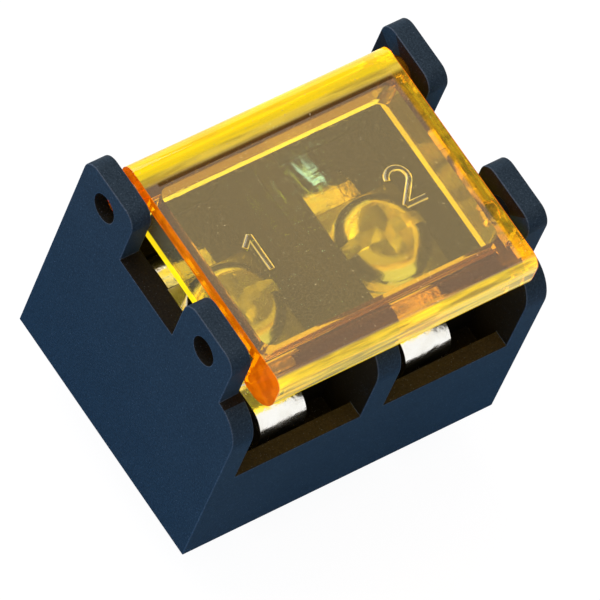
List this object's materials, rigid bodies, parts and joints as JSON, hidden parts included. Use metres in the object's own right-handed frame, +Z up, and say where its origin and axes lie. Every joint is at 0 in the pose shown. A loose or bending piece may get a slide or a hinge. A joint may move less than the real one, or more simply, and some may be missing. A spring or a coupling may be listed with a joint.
{
  "type": "barrier terminal strip",
  "caption": "Board-mount barrier terminal strip: black moulded housing with eared end walls, screw clamps on bent contacts and a hinged clear amber cover.",
  "frame": {"origin": "centre of the housing's flat underside, the face that sits on the board", "axes": "+X along the row from the first pole to the second, +Y from the wire entries towards the back wall, +Z up from the board"},
  "size_m": [0.0206, 0.016, 0.0204],
  "materials": {
    "housing_plastic": "fine matte moulded black with a slight blue cast",
    "cover_amber": "clear glossy amber",
    "contact_tin": "bright tin plate over brass",
    "clamp_steel": "bright nickel plate",
    "screw_steel": "bright nickel plate"
  },
  "bodies": {
    "block": {"housing": "housing_plastic", "contact_1": "contact_tin", "contact_2": "contact_tin"},
    "cover": {"cover": "cover_amber"},
    "clamp_1": {"clamp_plate_1": "clamp_steel"},
    "clamp_2": {"clamp_plate_2": "clamp_steel"},
    "screw_1": {"screw_1": "screw_steel"},
    "screw_2": {"screw_2": "screw_steel"}
  },
  "joints": [
    {"name": "cover_hinge", "type": "hinge", "parent": "block", "child": "cover", "pos_m": [0, 0.00575, 0.01503], "axis": [-1, 0, 0], "range_deg": [0, 180]},
    {"name": "clamp_1_lift", "type": "slide", "parent": "block", "child": "clamp_1", "axis": [0, 0, 1], "range_m": [0, 0.0025]},
    {"name": "screw_1_turn", "type": "hinge", "parent": "clamp_1", "child": "screw_1", "pos_m": [-0.00475, -0.0007, 0.0091], "axis": [0, 0, 1], "range_deg": [0, 1800]},
    {"name": "clamp_2_lift", "type": "slide", "parent": "block", "child": "clamp_2", "axis": [0, 0, 1], "range_m": [0, 0.0025]},
    {"name": "screw_2_turn", "type": "hinge", "parent": "clamp_2", "child": "screw_2", "pos_m": [0.00475, -0.0007, 0.0091], "axis": [0, 0, 1], "range_deg": [0, 1800]}
  ],
  "couplings": [
    {"joint": "screw_1_turn", "follows": "clamp_1_lift", "rad_per_m": 12566},
    {"joint": "screw_2_turn", "follows": "clamp_2_lift", "rad_per_m": 12566}
  ]
}
